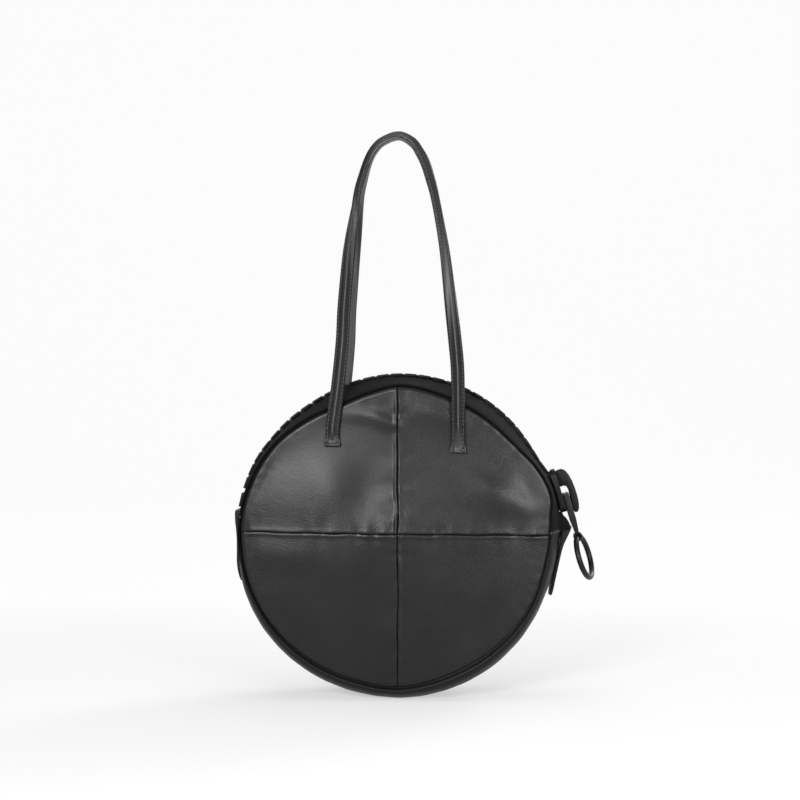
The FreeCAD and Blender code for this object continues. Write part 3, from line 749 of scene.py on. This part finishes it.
def makeTape(face):
    side = sides[face]

    def place(u, v):
        degrees = zipEnds[0] + (zipEnds[1] - zipEnds[0]) * v
        power = fullness(degrees) / 2
        first = math.asin((tape["edge"] / outline["edge"]) ** power) * 2 / math.pi
        if u > gridEnd:
            return tucked(degrees, side)
        point = bandPoint(degrees, side * (first + (1 - first) * math.sin(u * math.pi / 2)))
        lift = tape["bead"] * bell(abs(point.y) - tape["beadPlace"] * mm, tape["beadWidth"] * mm)
        rise = 1 - min(1, (degrees - zipEnds[0]) / tape["endRun"]) ** 2
        lift += tape["endRise"] * rise * (1 - ease(abs(point.y) / mm, *tape["riseFade"]))
        return point + (point - discCentre).normalized() * (tape["thickness"] / 2 + lift) * mm

    piece = makeSheet(f"{face}_tape", f"{face}_zip_tape", tape["columns"], tape["rows"], place,
                      tape["thickness"])
    length = math.radians(zipEnds[1] - zipEnds[0]) * crestRadius
    for corner in piece.data.uv_layers.active.data:
        across = math.sin(corner.uv.x * math.pi / 2) * (outline["edge"] - tape["edge"]) * mm
        corner.uv = (across, corner.uv.y * length)
    declareCloth(piece, *tape["cut"], [f"{face}_quarter_upper_{hand}" for hand in hands])
    onMouth(piece)


for face in sides:
    makeTape(face)


# Zip teeth and stops keep the solids' shapes, with moulded edges, and follow the zip's sag
def makeMoulding(node, name):
    piece = softened(node, name, chain["edge"] * mm)
    for vertex in piece.data.vertices:
        out = vertex.co - discCentre
        out.y = 0
        degrees = math.degrees(math.atan2(out.z, out.x))
        vertex.co += out.normalized() * (crestShift(degrees) - chainTilt(degrees) * vertex.co.y)
    dress(piece, node)
    return piece


for face in sides:
    for node, name in (("teeth", "tooth_row"), ("top_stop", "end_stop")):
        onMouth(makeMoulding(f"{face}_zip_{node}", f"{face}_{name}"))
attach(makeMoulding("zip_bottom_stop", "block_stop"), "carcass")

# Slider: the solid's body below its plate, with a hook for a bridge. The hook's outline is height
# over the zip's line and place along it, in mm.
slider = {
    "angle": 16.5, "plate": 6.02, "edge": 0.9, "hookWidth": 9, "hookEdge": 1.3, "hookAngle": 60,
    "hook": [(5, 17.4), (9, 18.3), (12.8, 18.2), (15.6, 16), (17.6, 11.5), (19, 5), (19.7, -3), (19.8, -10),
             (19.3, -16), (18, -21.5), (16, -24.4), (13.6, -24.2), (12.2, -21.5), (12.2, -15), (13, -8),
             (13.4, -2), (12.6, 1.5), (10, 2.8), (5, 2.4)],
}
sliderTurn = math.radians(slider["angle"])
sliderOut = Vector((math.cos(sliderTurn), 0, math.sin(sliderTurn)))
sliderAlong = Vector((-math.sin(sliderTurn), 0, math.cos(sliderTurn)))
platePlace = discCentre + sliderOut * (crestRadius + slider["plate"] * mm)
sliderBody = copyNode("zip_slider", "slider_body")
editAll(sliderBody, (bpy.ops.mesh.bisect, {
    "plane_co": platePlace, "plane_no": sliderOut, "use_fill": True, "clear_outer": True}))
roundEdges(sliderBody, slider["edge"] * mm)
pick()
bpy.ops.mesh.primitive_circle_add(vertices=len(slider["hook"]), fill_type="NGON")
hook = bpy.context.object
for vertex, (height, along) in zip(hook.data.vertices, slider["hook"]):
    vertex.co = discCentre + sliderOut * (crestRadius + height * mm) + sliderAlong * along * mm
applied(hook, "SOLIDIFY", thickness=slider["hookWidth"] * mm, offset=0)
editAll(hook, (bpy.ops.mesh.normals_make_consistent, {"inside": False}))
roundEdges(hook, slider["hookEdge"] * mm, slider["hookAngle"])
pick(sliderBody, hook)
bpy.ops.object.join()
dress(sliderBody, "zip_slider")
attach(sliderBody, "slider")

# Link: the solid's shape, thicker beyond its knuckle, and with a slimmer knuckle
link = {"edge": 0.9, "thicker": 0.3, "thickRun": (6, 6), "knuckle": 5.6, "knuckleShrink": 0.2}
linkBody = softened("pull_link", "link_body", link["edge"] * mm)
knuckle = Vector(joints["ring_swing"]["pos_m"])
pivot = Vector(joints["pull_swing"]["pos_m"])
for vertex in linkBody.data.vertices:
    away = vertex.co - knuckle
    away.y = 0
    thicker = link["thicker"] * ease(away.length / mm, *link["thickRun"])
    vertex.co += sliderOut * (vertex.co - pivot).dot(sliderOut) * thicker
    if away.length < link["knuckle"] * mm:
        vertex.co -= away * link["knuckleShrink"]
dress(linkBody, "pull_link")
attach(linkBody, "link")

# Ring: hangs from the link and has turned a little in its knuckle
ring = {"radius": 19.8, "wire": 5.2, "twist": 17, "lean": 6, "around": 72, "wireSides": 16}
ringLow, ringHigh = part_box("pull_ring")
hang = Matrix.Rotation(math.radians(-ring["lean"]), 3, "Y") @ ((ringLow + ringHigh) / 2 - knuckle)
hang.normalize()
ringCentre = knuckle + hang * ring["radius"] * mm
twist = Matrix.Rotation(math.radians(ring["twist"]), 3, hang)
backwards = Vector((0, 1, 0))
ringAxes = twist @ Matrix((backwards, hang, backwards.cross(hang))).transposed()
pick()
bpy.ops.mesh.primitive_torus_add(major_radius=ring["radius"] * mm, minor_radius=ring["wire"] / 2 * mm,
                                 major_segments=ring["around"], minor_segments=ring["wireSides"])
pullRing = bpy.context.object
pullRing.name = pullRing.data.name = "ring_body"
for vertex in pullRing.data.vertices:
    vertex.co = ringCentre + ringAxes @ vertex.co
smooth(pullRing, "soft")
dress(pullRing, "pull_ring")
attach(pullRing, "ring")
print("zip made")


# Sewing: one stitch is modelled and laid along a row
stitch = {"length": 2.5, "width": 0.8, "height": 0.7, "pitch": 3.6, "around": 6, "rings": 4}
pick()
bpy.ops.mesh.primitive_uv_sphere_add(segments=stitch["around"], ring_count=stitch["rings"], radius=0.5)
stitchShape = bpy.context.object
for vertex in stitchShape.data.vertices:
    vertex.co = [part * stitch[size] * mm for part, size in zip(vertex.co, ("length", "width", "height"))]


# A path gives points and outward directions along a row
def stitchPlaces(path):
    places, spare = [], 0
    for (start, out), (end, _) in zip(path, path[1:]):
        step = (end - start).length
        while spare < step:
            along = (end - start).normalized()
            up = (out - along * out.dot(along)).normalized()
            across = up.cross(along)
            turn = Matrix((along, across, up)).transposed().to_4x4()
            places.append(Matrix.Translation(start + along * spare) @ turn)
            spare += stitch["pitch"] * mm
        spare -= step
    return places


def sew(name, paths):
    places = [place for path in paths for place in stitchPlaces(path)]
    piece = copyAlong(stitchShape, name, places)
    smooth(piece, "thread")
    piece.data.materials.append(thread)
    return piece


# A row of stitches across each end of the band
rows = []
for degrees in (band["start"] + band["stitchInset"], band["end"] - band["stitchInset"]):
    reaches = [(2 * share - 1) * band["stitchReach"] for share in shares(band["stitchSteps"])]
    points = [bandSurface(degrees, reach, 0) for reach in reaches]
    rows.append([(point, (point - discCentre).normalized()) for point in points])
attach(sew("band_end_stitches", rows), "carcass")


# Handles: a strap folded over a cord, sewn on both sides of it. Its line runs from the left foot over
# the top to the right foot: x, height and the turn away from facing outwards, in mm and degrees.
handle = {
    "line": [(-60, 249.2, 0), (-55.2, 286, 0), (-51, 329, 0), (-49.8, 357, 0), (-47.7, 385, 6),
             (-45.4, 412, 20), (-42, 440, 44), (-37.8, 469, 70), (-33.4, 485, 80), (-29.2, 498, 86),
             (-24.4, 507.7, 88), (-16.8, 516, 88), (-1, 521.9, 84), (12, 516, 70), (18.4, 507.7, 58),
             (23.4, 497.9, 54), (28, 483.4, 54), (31.9, 469, 58), (37.4, 440.5, 57), (42, 412.4, 48),
             (45.4, 384.6, 38), (48.5, 357, 24), (51.6, 329.5, 10), (54, 302, 0), (54.6, 249.2, 0)],
    "footDepth": 47.4, "topDepth": 6.6, "top": 521.9, "rows": 180, "foldRise": 24,
    "width": 12.4, "edge": 2.6, "ridge": 6.8, "ridgeHeight": 2.8, "ridgePower": 0.75,
    "backShares": (-0.88, -0.4, 0, 0.4, 0.88), "frontShare": 0.93, "frontSteps": 20,
    "stitch": 4.6, "stitchSunk": 1.0, "stitchWidth": 0.7, "stitchIn": 0.25,
    "cordRadius": 1.9, "cordOut": 1.1, "cordSides": 12,
}
footHeight = joints["front_handle_fold"]["pos_m"][2]
footX = {"left": handle["line"][0][0] * mm, "right": handle["line"][-1][0] * mm}
lengths = [0]
for before, after in zip(handle["line"], handle["line"][1:]):
    lengths.append(lengths[-1] + math.hypot(after[0] - before[0], after[1] - before[1]))
strapX, strapZ, strapTurn = runsOf(lengths, handle["line"])


def strapPlace(share, side):
    at = share * lengths[-1]
    height = runValue(strapZ, at) * mm
    climb = (height - footHeight) / (handle["top"] * mm - footHeight)
    out = (handle["footDepth"] + (handle["topDepth"] - handle["footDepth"]) * climb * climb) * mm
    return Vector((runValue(strapX, at) * mm, side * out, height))


def strapFrame(share, side):
    step = 0.012
    before, after = (strapPlace(max(0, min(1, share + change)), side) for change in (-step, step))
    along = (after - before).normalized()
    outside = Vector((-along.z, 0, along.x)).normalized()
    turned = math.radians(runValue(strapTurn, share * lengths[-1]))
    facing = Vector((0, side * math.cos(turned), 0)) + outside * math.sin(turned)
    facing = (facing - along * facing.dot(along)).normalized()
    return strapPlace(share, side), along.cross(facing), facing


# The strap's section, from its back round its front: ridge is 1 over the cord and 0 where it is flat
def strapSection(ridge=1, wider=0, lip=0):
    half, edge = handle["width"] / 2 + wider, handle["edge"] / 2
    swell, height = handle["ridge"] / 2, handle["ridgeHeight"] * ridge

    def front(across):
        out = edge + lip
        if abs(across) < swell:
            out += height * (0.5 + 0.5 * math.cos(math.pi * across / swell)) ** handle["ridgePower"]
        return out - handle["stitchSunk"] * bell(abs(across) - handle["stitch"], handle["stitchWidth"])

    backs = [(half * share, -edge) for share in handle["backShares"]]
    rightSide = [(half, -edge * 0.5), (half, edge * 0.5)]
    places = [half * handle["frontShare"] * (1 - 2 * share) for share in shares(handle["frontSteps"])]
    fronts = [(place, front(place)) for place in places]
    leftSide = [(-half, edge * 0.5), (-half, -edge * 0.5)]
    return [(across * mm, out * mm) for across, out in backs + rightSide + fronts + leftSide]


def cordSection():
    radius, out, count = handle["cordRadius"], handle["cordOut"], handle["cordSides"]
    turns = [2 * math.pi * step / count for step in range(count)]
    return [(radius * mm * math.cos(turn), (out + radius * math.sin(turn)) * mm) for turn in turns]


def onFold(piece):
    start, end = (0, 0, footHeight), (0, 0, footHeight + handle["foldRise"] * mm)
    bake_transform(piece)
    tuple(start)
    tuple(end)


def makeStrap(face):
    side = sides[face]
    frames = [strapFrame(share, side) for share in shares(handle["rows"])]

    def swept(section):
        return [[middle + wide * across + facing * out for across, out in section]
                for middle, wide, facing in frames]

    strap = loftTube(f"{face}_strap", swept(strapSection()))
    smooth(strap, "moulded")
    dress(strap, f"{face}_handle_strap")
    onFold(strap)
    core = loftTube(f"{face}_strap_cord", swept(cordSection()))
    smooth(core, "soft")
    dress(core, f"{face}_handle_core")
    onFold(core)
    lift = (handle["edge"] / 2 - handle["stitchIn"]) * mm
    rows = []
    for beside in (-handle["stitch"] * mm, handle["stitch"] * mm):
        rows.append([(middle + wide * beside + facing * lift, facing) for middle, wide, facing in frames])
    onFold(sew(f"{face}_strap_stitches", rows))


# Sewn ends: each settles from the strap's foot on to the panel, with a flange and a lip at its low end,
# and with the ridge over the cord dying away above that, in mm. A row of stitches crosses it.
strapEnd = {
    "low": {"left": 233, "right": 227}, "gap": 2.3, "steps": 18,
    "ridge": {"left": (4, 9), "right": (0, 30)}, "flange": 1.2, "flangeFade": (3, 7),
    "lip": 0.9, "lipPlace": 1.2, "lipWidth": 1.3,
    "crossRise": 1.5, "crossSteps": 6,
}


def makeStrapEnd(face, hand):
    side, low = sides[face], strapEnd["low"][hand] * mm
    wide, facing = Vector((side, 0, 0)), Vector((0, side, 0))
    lift = facing * (handle["edge"] / 2 - handle["stitchIn"]) * mm
    sections, edges = [], {-1: [], 1: []}
    for share in shares(strapEnd["steps"]):
        height = low + (footHeight - low) * share
        rise = (height - low) / mm
        flat = panelDepth(footX[hand] - crossing.x, height - crossing.z, side) + strapEnd["gap"] * mm
        depth = flat + (handle["footDepth"] * mm - flat) * ease(share)
        middle = Vector((footX[hand], side * depth, height))
        ridge = ease(rise, *strapEnd["ridge"][hand])
        wider = strapEnd["flange"] * (1 - ease(rise, *strapEnd["flangeFade"]))
        lip = strapEnd["lip"] * bell(rise - strapEnd["lipPlace"], strapEnd["lipWidth"])
        section = strapSection(ridge, wider, lip)
        sections.append([middle + wide * across + facing * out for across, out in section])
        for beside in edges:
            edges[beside].append((middle + wide * beside * handle["stitch"] * mm + lift, facing))
    start, end = (edges[beside][1][0] + Vector((0, 0, strapEnd["crossRise"] * mm)) for beside in edges)
    across = [(start.lerp(end, share), facing) for share in shares(strapEnd["crossSteps"])]
    return loftTube(f"{face}_strap_end_{hand}", sections), [edges[-1][2:], edges[1][2:], across]


# Patches of board behind the panel, under the sewn ends
patchCut = {"width": 23, "below": 5, "taller": 9, "behind": 2.4, "board": 1, "columns": 8, "rows": 12}


def makePatch(face, hand):
    side, low = sides[face], strapEnd["low"][hand] * mm

    def place(u, v):
        x = footX[hand] + (u - 0.5) * patchCut["width"] * mm
        height = low - patchCut["below"] * mm + v * (footHeight - low + patchCut["taller"] * mm)
        depth = panelDepth(x - crossing.x, height - crossing.z, side, turned=False) - patchCut["behind"] * mm
        return Vector((x, side * depth, height))

    patch = gridSheet(f"{face}_patch_{hand}", patchCut["columns"], patchCut["rows"], place)
    faceOut(patch, side)
    thicken(patch, patchCut["board"] * mm)
    return patch


def makeStrapEnds(face):
    ends, patches, rows = [], [], []
    for hand in hands:
        end, seams = makeStrapEnd(face, hand)
        ends.append(end)
        rows += seams
        patches.append(makePatch(face, hand))
    for name, node, things in (("strap_ends", "ends", ends), ("patches", "patches", patches)):
        pick(*things)
        bpy.ops.object.join()
        piece = things[0]
        piece.name = piece.data.name = f"{face}_{name}"
        smooth(piece, "moulded")
        dress(piece, f"{face}_handle_{node}")
        onMouth(piece)
    onMouth(sew(f"{face}_end_stitches", rows))


for face in sides:
    makeStrap(face)
    makeStrapEnds(face)
print("handles made")


# Tabs: leather strips folded over the zip's ends. Stations run from the fold to the free end: degrees,
# outer and inner radius about the disc's centre in mm.
tabs = {
    "left": {"node": "zip_tab_left", "body": "carcass", "stations": [
        (170.5, 154.9, 150.4), (171.5, 154.9, 150.3), (173, 154.3, 150.2), (175, 153.4, 150),
        (177, 152.4, 149.6), (180.7, 151.5, 148.9), (184.9, 152, 149.4), (189, 153.2, 150.6),
        (192.5, 153.6, 151), (195.5, 154, 151.4)]},
    "right": {"node": "zip_tab_right", "body": "right_tab", "bend": (151, 139), "stations": [
        (3.9, 159.7, 151), (3, 158.9, 150.6), (1.5, 156.9, 150.3), (0, 154.9, 149.9), (-1.5, 153, 149.6),
        (-3, 151.7, 149.1), (-5, 150.6, 148.3), (-7.5, 149.8, 147.5), (-10, 149.4, 147), (-13, 149.3, 146.8),
        (-16, 149.6, 147), (-18.5, 150.3, 147.7), (-21, 151.2, 148.6)]},
    "width": 34, "corner": 13, "rows": 72, "rowPower": 1.6, "columns": 12, "edge": 0.8,
    "stitchInset": 3, "stitchSunk": 0.1, "stitchRun": (0.05, 0.97),
}


def makeTab(hand):
    tab = tabs[hand]
    turns = [abs(row[0] - tab["stations"][0][0]) for row in tab["stations"]]
    angles, outers, inners = runsOf(turns, tab["stations"])
    first, last = tabs["stitchRun"]

    def at(share):
        turn = share * turns[-1]
        degrees = runValue(angles, turn)
        toEnd = math.radians(turns[-1] - turn) * crestRadius
        half = tabs["width"] / 2 * mm - tabs["corner"] * mm * rollOff(toEnd, tabs["corner"] * mm)
        return degrees, runValue(outers, turn) * mm, runValue(inners, turn) * mm, half

    sections, rows = [], {-1: [], 1: []}
    columns = [2 * share - 1 for share in shares(tabs["columns"])]
    for step in shares(tabs["rows"]):
        share = 1 - (1 - step) ** tabs["rowPower"]
        degrees, outer, inner, half = at(share)
        loop = [polar(outer, degrees, half * column) for column in columns]
        sections.append(loop + [polar(inner, degrees, half * column) for column in reversed(columns)])
        if first < share < last:
            for beside in rows:
                across = beside * (half - tabs["stitchInset"] * mm)
                place = polar(outer - tabs["stitchSunk"] * mm, degrees, across)
                rows[beside].append((place, polar(1, degrees) - discCentre))
    piece = loftTube(f"{hand}_tab", sections)
    roundEdges(piece, tabs["edge"] * mm)
    dress(piece, tab["node"])
    for thing in (piece, sew(f"{hand}_tab_stitches", list(rows.values()))):
        if "bend" in tab:
            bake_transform(thing)
        else:
            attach(thing, tab["body"])


for hand in hands:
    makeTab(hand)
bpy.data.objects.remove(stitchShape)
print("tabs made")

# Camera: level, a little to the right of straight on
view = {"distance": 1600, "turn": 2, "height": 275, "frameWidth": 750, "sensor": 36}
turn = math.radians(view["turn"])
lens = bpy.data.cameras.new("camera")
lens.sensor_width = view["sensor"]
lens.lens = view["sensor"] * view["distance"] / view["frameWidth"]
camera = addObject("camera", lens)
across, back = view["distance"] * math.sin(turn), -view["distance"] * math.cos(turn)
camera.location = Vector((across, back, view["height"])) * mm
camera.rotation_euler = (math.pi / 2, 0, turn)
bpy.context.scene.camera = camera

# Studio: a pale sweep that shows white and keeps the shadow, and soft lamps, in metres
studio = {"front": -24, "back": 3.0, "bend": 1.2, "height": 4.5, "halfWidth": 24, "rows": 480, "paper": 0.85,
          "floorWhite": 0.5, "wallWhite": 0.95, "whiteFrom": 0.1, "whiteTo": 0.7, "worldLight": 0.17}


def sweepPlace(u, v):
    run = studio["back"] - studio["front"]
    arc = studio["bend"] * math.pi / 2
    way = v * (run + arc + studio["height"])
    x = (2 * u - 1) * studio["halfWidth"]
    if way < run:
        return Vector((x, studio["front"] + way, 0))
    if way < run + arc:
        bend = (way - run) / studio["bend"]
        up = studio["bend"] * (1 - math.cos(bend))
        return Vector((x, studio["back"] + studio["bend"] * math.sin(bend), up))
    return Vector((x, studio["back"] + studio["bend"], studio["bend"] + way - run - arc))


sweep = gridSheet("sweep", 2, studio["rows"], sweepPlace)
smooth(sweep, "soft")
paper = Finish("palePaper")
kinds = ("Camera", "Glossy", "Transmission")
seen, mirrored, through = (paper.node("LightPath", output=f"Is {kind} Ray") for kind in kinds)
rays = (seen + mirrored + through).op("MINIMUM", 1)
far = paper.node("MapRange", {"clamp": True}, Value=paper.parts(paper.place)[1],
                 From_Min=studio["whiteFrom"], From_Max=studio["whiteTo"],
                 To_Min=studio["floorWhite"], To_Max=studio["wallWhite"])
paper.set(Base_Color=(*grey(studio["paper"]), 1), Roughness=0.9, Specular_IOR_Level=0.1)
glow = paper.nodes.new("ShaderNodeEmission")
mix = paper.nodes.new("ShaderNodeMixShader")
links = paper.material.node_tree.links
feed(mix.inputs[0], rays * far)
links.new(paper.shader.outputs[0], mix.inputs[1])
links.new(glow.outputs[0], mix.inputs[2])
links.new(mix.outputs[0], paper.nodes["Material Output"].inputs["Surface"])
sweep.data.materials.append(paper.material)

lamps = {
    "key": {"at": (-0.8, -2.5, 1.02), "size": 0.75, "power": 64},
    "fill": {"at": (1.1, -2.0, 0.55), "size": 0.5, "power": 28},
    "top": {"at": (0.1, 0, 2.6), "size": 2.5, "power": 30},
    "rear": {"at": (1.7, 2.0, 1.7), "size": 1.2, "power": 34},
}
for name, lamp in lamps.items():
    light = bpy.data.lights.new(name, "AREA")
    light.energy, light.size = lamp["power"], lamp["size"]
    holder = addObject(name, light)
    holder.location = lamp["at"]
    aim = discCentre - holder.location
    holder.rotation_euler = aim.to_track_quat("-Z", "Y").to_euler()
world = bpy.data.worlds.new("studioWorld")
world.use_nodes = True
world.node_tree.nodes["Background"].inputs["Color"].default_value = (1, 1, 1, 1)
world.node_tree.nodes["Background"].inputs["Strength"].default_value = studio["worldLight"]
bpy.context.scene.world = world
bpy.context.scene.view_settings.view_transform = "Standard"
print("studio made")
